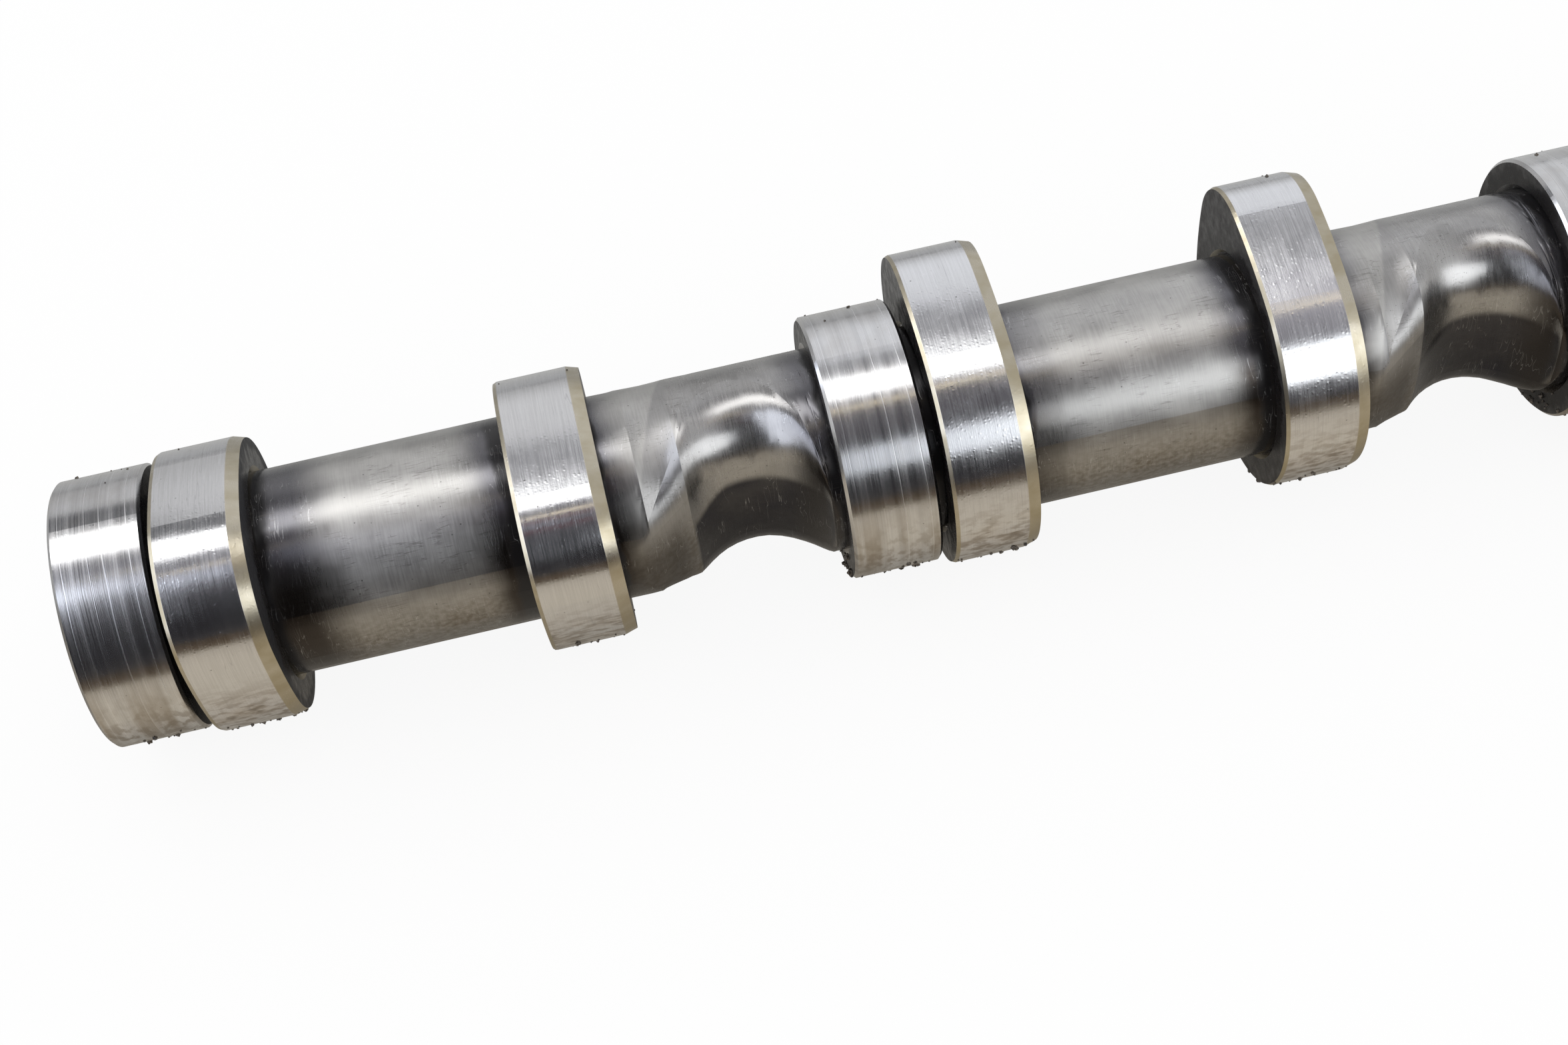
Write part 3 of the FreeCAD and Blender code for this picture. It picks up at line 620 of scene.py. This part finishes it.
points = add_node(crumbs, "GeometryNodeDistributePointsOnFaces",
                  {"Mesh": given["Geometry"], "Density": given["Count per Area"], "Seed": given["Seed"]})
ball = add_node(crumbs, "GeometryNodeMeshIcoSphere", {"Radius": 1.0, "Subdivisions": 2})
dents = shader_node(crumbs, "TexNoise", {"Scale": BALL_DENTS, "Detail": 2.0})
centred = shader_node(crumbs, "VectorMath", {0: dents.outputs["Color"], 1: (0.5, 0.5, 0.5)},
                      operation="SUBTRACT")
offset = shader_node(crumbs, "VectorMath", {0: centred.outputs[0], "Scale": DENT_DEPTH}, operation="SCALE")
lump = add_node(crumbs, "GeometryNodeSetPosition",
                {"Geometry": ball.outputs["Mesh"], "Offset": offset.outputs[0]})
turn = add_node(crumbs, "FunctionNodeRandomValue", {"Max": ANY_TURN, "Seed": given["Seed"]},
                data_type="FLOAT_VECTOR")
chance = add_node(crumbs, "FunctionNodeRandomValue", {2: 0.0, 3: 1.0, "Seed": given["Seed"]},
                  data_type="FLOAT")
skewed = calculate(crumbs, "POWER", chance.outputs[1], FEW_LARGE)
share = shader_node(crumbs, "MapRange", {"Value": skewed, "To Min": SMALLEST_SHARE, "To Max": 1.0})
crumb_size = multiply(crumbs, share.outputs[0], given["Largest Size"])
placed = add_node(crumbs, "GeometryNodeInstanceOnPoints",
                  {"Points": points.outputs["Points"], "Instance": lump.outputs["Geometry"],
                   "Rotation": turn.outputs[0], "Scale": crumb_size})
real = add_node(crumbs, "GeometryNodeRealizeInstances", {"Geometry": placed.outputs[0]})
coated = add_node(crumbs, "GeometryNodeSetMaterial", {"Geometry": real.outputs[0], "Material": residue_look})
crumbs.links.new(coated.outputs[0], result["Geometry"])


def scatter_crumbs(name, kinds, wanted, per_square_mm, largest, seed):
    """Crumbs on the faces of some kinds of piece that pass a test of their middle and direction."""
    host = bmesh.new()
    for node_name, node in cad_nodes.items():
        if node_name.startswith(kinds):
            host.from_mesh(node.data)
    host.normal_update()
    bare = [face for face in host.faces if not wanted(face.calc_center_median(), face.normal)]
    bmesh.ops.delete(host, geom=bare, context="FACES")
    host_mesh = bpy.data.meshes.new(name)
    host.to_mesh(host_mesh)
    host.free()
    piece = bpy.data.objects.new(name, host_mesh)
    bpy.context.scene.collection.objects.link(piece)
    modifier = piece.modifiers.new("crumbs", "NODES")
    modifier.node_group = crumbs
    sockets = {item.name: item.identifier for item in crumbs.interface.items_tree if item.in_out == "INPUT"}
    modifier[sockets["Count per Area"]] = per_square_mm * MM_PER_METRE ** 2
    modifier[sockets["Largest Size"]] = largest
    modifier[sockets["Seed"]] = seed
    made = bpy.data.meshes.new_from_object(piece.evaluated_get(bpy.context.evaluated_depsgraph_get()))
    piece.modifiers.clear()
    piece.data = made
    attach(piece, "root")


# what counts as round, low, high and behind, as a share of a face's direction, and how far the
# corner by a saddle reaches on a ring's side face, in metres from the axis
ROUND = 0.5
LOWEST = -0.9
LOW = -0.4
HIGH = 0.35
BEHIND = 0.45
TO_FREE_END = -0.9
CORNER_TOP = -0.008
CORNER_BACK = 0.002


def is_low(middle, facing):
    """On the round, on the saddles' side below the axis, but not at the very lowest."""
    return abs(facing.x) < ROUND and LOWEST < facing.z < LOW and facing.y < 0


def is_high(middle, facing):
    """On the round, above the axis on the side away from the saddles."""
    return abs(facing.x) < ROUND and facing.z > HIGH and facing.y > BEHIND


def is_saddle_corner(middle, facing):
    """On the side face towards the free end, low down."""
    return facing.x < TO_FREE_END and middle.z < CORNER_TOP and middle.y < CORNER_BACK


RINGS_AND_CAMS = ("cam_", "journal_ring")
scatter_crumbs("residue_below", RINGS_AND_CAMS, is_low, per_square_mm=0.22, largest=0.00036, seed=3)
scatter_crumbs("residue_above", RINGS_AND_CAMS, is_high, per_square_mm=0.04, largest=0.00028, seed=5)
scatter_crumbs("residue_at_saddles", ("journal_ring",), is_saddle_corner, per_square_mm=0.5, largest=0.00055,
               seed=7)


# Studio: the camera looks down on the shaft at 51 degrees, close to its free end, with the shaft
# rising to the right. The first two cylinders fill the picture, up to the third journal ring.
CAMERA_ELEVATION = math.radians(51.2)
CAMERA_DISTANCE = 0.2811
CAMERA_ALONG = 0.06085
AIM_ALONG = 0.07787
AIM_DROP = 0.00769
CAMERA_ROLL = math.radians(12.88)
FOCAL_LENGTH_IN_PIXELS = 3470.2
PICTURE_WIDTH = 2353
SENSOR_WIDTH = 36.0

towards_camera = Vector((0, -math.cos(CAMERA_ELEVATION), math.sin(CAMERA_ELEVATION)))
upwards = Vector((0, math.sin(CAMERA_ELEVATION), math.cos(CAMERA_ELEVATION)))
eye = Vector((CAMERA_ALONG, 0, 0)) + CAMERA_DISTANCE * towards_camera
aim = Vector((AIM_ALONG, 0, 0)) - AIM_DROP * upwards
forward = (aim - eye).normalized()
level = (Vector((1, 0, 0)) - forward.x * forward).normalized()
level_up = level.cross(forward)
right = math.cos(CAMERA_ROLL) * level - math.sin(CAMERA_ROLL) * level_up
top = math.sin(CAMERA_ROLL) * level + math.cos(CAMERA_ROLL) * level_up

camera_data = bpy.data.cameras.new("camera")
camera_data.sensor_fit = "HORIZONTAL"
camera_data.sensor_width = SENSOR_WIDTH
camera_data.lens = FOCAL_LENGTH_IN_PIXELS / PICTURE_WIDTH * SENSOR_WIDTH
camera_data.clip_start = 0.01
camera = bpy.data.objects.new("camera", camera_data)
camera.matrix_world = Matrix.Translation(eye) @ Matrix((right, top, -forward)).transposed().to_4x4()
bpy.context.scene.collection.objects.link(camera)
bpy.context.scene.camera = camera
bpy.context.scene.view_settings.view_transform = "Standard"

world = bpy.data.worlds.new("room")
world.use_nodes = True
world.node_tree.nodes["Background"].inputs["Color"].default_value = (1.0, 1.0, 1.0, 1)
bpy.context.scene.world = world


def stage_sheet(name, points, quads):
    """Flat or bent sheet of the studio, with an empty material of its own."""
    mesh = bpy.data.meshes.new(name)
    mesh.from_pydata(points, [], quads)
    sheet = bpy.data.objects.new(name, mesh)
    bpy.context.scene.collection.objects.link(sheet)
    material = bpy.data.materials.new(name + "_paint")
    material.use_nodes = True
    mesh.materials.append(material)
    material.cycles.emission_sampling = "NONE"
    return sheet, material.node_tree


def flat_sheet(name, half_length, front, back, height):
    corners = [(-half_length, front, height), (half_length, front, height),
               (half_length, back, height), (-half_length, back, height)]
    return stage_sheet(name, corners, [(0, 1, 2, 3)])


# Floor: a white sheet that the shaft lies on with its cams. What the camera sees of it is mostly
# its own white, so that the shaft's shadow on it stays light.
FLOOR_REACH = 3.0
OWN_WHITE_SHARE = 0.9
floor_height = cad_box[0][2]
_, tree = flat_sheet("floor", FLOOR_REACH, -FLOOR_REACH, FLOOR_REACH, floor_height)
shader = tree.nodes["Principled BSDF"]
shader.inputs["Base Color"].default_value = (0.97, 0.97, 0.97, 1)
shader.inputs["Roughness"].default_value = 0.9
shader.inputs["Specular IOR Level"].default_value = 0.1
own_white = shader_node(tree, "Emission", {"Color": (1, 1, 1, 1), "Strength": 1.0}).outputs[0]
ray = shader_node(tree, "LightPath").outputs
seen = calculate(tree, "MAXIMUM", ray["Is Camera Ray"],
                 calculate(tree, "MAXIMUM", ray["Is Glossy Ray"], ray["Is Transmission Ray"]))
mixed = shader_node(tree, "MixShader", {0: multiply(tree, seen, OWN_WHITE_SHARE), 1: shader.outputs[0],
                                        2: own_white}).outputs[0]
tree.links.new(mixed, tree.nodes["Material Output"].inputs["Surface"])


def only_in_reflections(sheet):
    sheet.visible_camera = False
    sheet.visible_diffuse = False
    sheet.visible_shadow = False


def glow(tree, colour):
    emission = shader_node(tree, "Emission", {"Color": colour, "Strength": 1.0})
    tree.links.new(emission.outputs[0], tree.nodes["Material Output"].inputs["Surface"])


# Bench: what the steel mirrors below the horizon, a tan board that ends a hand's width in front
# of the shaft, with dark ground beyond, the shaft's own shade under it and grey cloth behind.
BENCH_HALF_LENGTH = 1.2
GROUND_FRONT = -0.75
BENCH_BACK = 1.0
OVER_FLOOR = 0.0002
RAMP_FROM = -0.25
RAMP_LENGTH = 0.5
BENCH_LEVELS = [
    (-0.240, (0.100, 0.072, 0.048)), (-0.125, (0.140, 0.100, 0.062)),
    (-0.108, (0.680, 0.610, 0.500)), (-0.050, (0.760, 0.680, 0.555)), (-0.030, (0.740, 0.665, 0.540)),
    (-0.022, (0.620, 0.560, 0.470)), (-0.014, (0.400, 0.370, 0.320)), (-0.004, (0.280, 0.260, 0.230)),
    (0.020, (0.300, 0.290, 0.270)), (0.060, (0.560, 0.560, 0.550)), (0.200, (0.560, 0.565, 0.570)),
]
FAR_CLOTH = (0.72, 0.73, 0.74, 1)
FAR_CLOTH_BEHIND = (0.03, 0.06)
FAR_CLOTH_ALONG = (0.12, 0.3)
bench, tree = flat_sheet("bench", BENCH_HALF_LENGTH, GROUND_FRONT, BENCH_BACK, floor_height + OVER_FLOOR)
along, across, _ = split(tree, place_in_metres(tree))
into_ramp = calculate(tree, "DIVIDE", subtract(tree, across, RAMP_FROM), RAMP_LENGTH)
board = levels_along(tree, into_ramp, [((y - RAMP_FROM) / RAMP_LENGTH, light) for y, light in BENCH_LEVELS])
paler = multiply(tree, ease(tree, across, *FAR_CLOTH_BEHIND), ease(tree, along, *FAR_CLOTH_ALONG))
glow(tree, lay(tree, board, FAR_CLOTH, paler))
only_in_reflections(bench)

# Tent: a half round of cloth over the shaft that its steel mirrors, dark in front and pale
# behind, with a long lamp overhead, a thin warm one in front of it, and a window at each side.
# Its places are metres along the shaft and degrees of elevation from the front.
TENT_RADIUS = 0.7
TENT_HALF_LENGTH = 1.2
TENT_STEPS = 45
HALF_TURN = 180.0
points = []
for step in range(TENT_STEPS + 1):
    angle = math.pi * step / TENT_STEPS
    y = -TENT_RADIUS * math.cos(angle)
    z = TENT_RADIUS * math.sin(angle) + floor_height
    points += [(-TENT_HALF_LENGTH, y, z), (TENT_HALF_LENGTH, y, z)]
tent, tree = stage_sheet("tent", points, [(2 * step, 2 * step + 1, 2 * step + 3, 2 * step + 2)
                                          for step in range(TENT_STEPS)])
only_in_reflections(tent)

along, across, up = split(tree, place_in_metres(tree))
elevation = calculate(tree, "DEGREES", calculate(tree, "ARCTAN2", up, multiply(tree, across, -1.0)))
share_up = calculate(tree, "DIVIDE", elevation, HALF_TURN)


def cloth(levels):
    """Bluish cloth with its brightness at each elevation."""
    return levels_along(tree, share_up, [(degrees / HALF_TURN, [share * level for share in CLOTH_TINT])
                                         for degrees, level in levels])


def off(value, middle):
    return calculate(tree, "ABSOLUTE", subtract(tree, value, middle))


def near(value, middle, outer, inner):
    """1 up to the inner distance from the middle, 0 from the outer distance on."""
    return ease(tree, off(value, middle), outer, inner)


CLOTH_TINT = (1.0, 0.97, 1.06)
LEFT_CLOTH = [(0, 0.06), (9, 0.03), (25, 0.035), (38, 0.05), (50, 0.09), (62, 0.14), (75, 0.2), (90, 0.28)]
RIGHT_CLOTH = [(0, 0.05), (12, 0.12), (25, 0.2), (50, 0.34), (62, 0.42), (72, 0.54), (85, 0.7), (105, 0.64)]
CLOTH_CHANGE = (0.23, 0.34)
colour = blend(tree, ease(tree, along, *CLOTH_CHANGE), cloth(LEFT_CLOTH), cloth(RIGHT_CLOTH))

# behind the lamp first grey cloth, wider and darker past the free end, and then pale cloth,
# paler to the right and greyer low down
LAMP_OVERHEAD = 104.3
LAMP_SLANT = -42.0
LAMP_HALF_WIDTH = 12.0
GREY = (0.44, 0.44, 0.46, 1)
DARK_GREY = (0.16, 0.16, 0.17, 1)
DARK_GREY_START = (-0.05, -0.1)
DARK_GREY_WIDER = 8.0
PALE_PAST_LAMP = (24.0, 30.0)
PALE_LEFT = (0.72, 0.72, 0.73, 1)
PALE = (1.0, 1.0, 1.01, 1)
PALE_START = (-0.17, -0.09)
PALE_RIGHT = (1.2, 1.22, 1.27, 1)
PALE_RIGHT_START = (0.05, 0.2)
PALE_LOW = (0.6, 0.6, 0.6, 1)
PALE_LOW_START = (153.0, 183.0)
lamp_middle = add(tree, multiply(tree, along, LAMP_SLANT), LAMP_OVERHEAD)
off_lamp = subtract(tree, elevation, lamp_middle)
past_free_end = ease(tree, along, *DARK_GREY_START)
past_grey = subtract(tree, off_lamp, multiply(tree, past_free_end, DARK_GREY_WIDER))
pale = blend(tree, ease(tree, along, *PALE_START), PALE_LEFT, PALE)
pale = lay(tree, pale, PALE_RIGHT, ease(tree, along, *PALE_RIGHT_START))
pale = lay(tree, pale, PALE_LOW, ease(tree, elevation, *PALE_LOW_START))
grey = blend(tree, past_free_end, GREY, DARK_GREY)
colour = lay(tree, colour, grey, ease(tree, off_lamp, start=0.0, end=LAMP_HALF_WIDTH))
colour = lay(tree, colour, pale, ease(tree, past_grey, *PALE_PAST_LAMP))


def add_light(colour, light, *shares):
    """Lay a light over the cloth where all its shares are high."""
    return lay(tree, colour, light, multiply(tree, *shares))


# long lamp overhead, which ends before the second cylinder's last cam mirrors it
LAMP_LIGHT = (4.5, 4.5, 4.5, 1)
LAMP_EDGE = (3.0, -6.0)
LAMP_END = (0.315, 0.265)
LAMP_NARROWER = 2.5
LAMP_NARROWER_START = (-0.03, 0.03)
narrower = multiply(tree, ease(tree, along, *LAMP_NARROWER_START), LAMP_NARROWER)
past_lamp = subtract(tree, off(off_lamp, 0.0), subtract(tree, LAMP_HALF_WIDTH, narrower))
colour = add_light(colour, LAMP_LIGHT, ease(tree, past_lamp, *LAMP_EDGE), ease(tree, along, *LAMP_END))

# thin warm lamp in front of it, and two faint red reflections before the second cam
WARM_LIGHT = (2.8, 2.4, 1.7, 1)
WARM_ELEVATION = 79.5
WARM_START = (-0.14, -0.11)
RED_LIGHT = (0.17, 0.07, 0.075, 1)
RED_ELEVATIONS = (73.0, 61.0)
RED_ALONG = 0.03
colour = add_light(colour, WARM_LIGHT, near(elevation, WARM_ELEVATION, outer=1.4, inner=0.3),
                   ease(tree, along, *WARM_START))
for red_elevation in RED_ELEVATIONS:
    colour = add_light(colour, RED_LIGHT, near(elevation, red_elevation, outer=3.5, inner=1.5),
                       near(along, RED_ALONG, outer=0.06, inner=0.04))

# bluish window at the left end, narrower to the right, and the sky seen over the first tube
LEFT_WINDOW_LIGHT = (2.6, 2.75, 3.1, 1)
LEFT_WINDOW_ELEVATION = 70.0
LEFT_WINDOW_EDGE = (6.0, 3.0)
LEFT_WINDOW_END = (-0.148, -0.168)
FULL_HEIGHT_AT = -0.17
NARROWER_PER_METRE = 150.0
SKY_LIGHT = (1.15, 1.2, 1.4, 1)
SKY_ELEVATION = 72.0
SKY_ALONG = -0.045
narrowing = multiply(tree, subtract(tree, along, FULL_HEIGHT_AT), NARROWER_PER_METRE)
off_left_window = add(tree, off(elevation, LEFT_WINDOW_ELEVATION), narrowing)
colour = add_light(colour, LEFT_WINDOW_LIGHT, ease(tree, off_left_window, *LEFT_WINDOW_EDGE),
                   ease(tree, along, *LEFT_WINDOW_END))
colour = add_light(colour, SKY_LIGHT, near(elevation, SKY_ELEVATION, outer=12.0, inner=5.0),
                   near(along, SKY_ALONG, outer=0.038, inner=0.02))

# big window at the right, taller and brighter farther off, and the white wall beside it
NEAR_WINDOW_LIGHT = (1.2, 1.26, 1.36, 1)
FAR_WINDOW_LIGHT = (3.2, 3.3, 3.4, 1)
WINDOW_ELEVATION = 34.5
WINDOW_EDGE = (13.0, 7.0)
WINDOW_START = (0.07, 0.17)
WINDOW_BRIGHTER = (0.19, 0.3)
FARTHER = (0.2, 0.34)
FARTHEST = (0.35, 0.8)
LOWER_FARTHER = 3.0
TALLER_FARTHER = 4.5
TALLER_FARTHEST = 8.0
WALL_LIGHT = (0.95, 0.96, 0.98, 1)
WALL_FOOT = (0.0, 8.0)
WALL_START = (0.38, 0.46)
window = blend(tree, ease(tree, along, *WINDOW_BRIGHTER), NEAR_WINDOW_LIGHT, FAR_WINDOW_LIGHT)
farther = ease(tree, along, *FARTHER)
farthest = ease(tree, along, *FARTHEST)
window_middle = subtract(tree, WINDOW_ELEVATION, multiply(tree, farther, LOWER_FARTHER))
taller = add(tree, multiply(tree, farther, TALLER_FARTHER), multiply(tree, farthest, TALLER_FARTHEST))
off_window = subtract(tree, off(elevation, window_middle), taller)
colour = add_light(colour, WALL_LIGHT, ease(tree, elevation, *WALL_FOOT), ease(tree, along, *WALL_START))
colour = add_light(colour, window, ease(tree, off_window, *WINDOW_EDGE), ease(tree, along, *WINDOW_START))
glow(tree, colour)
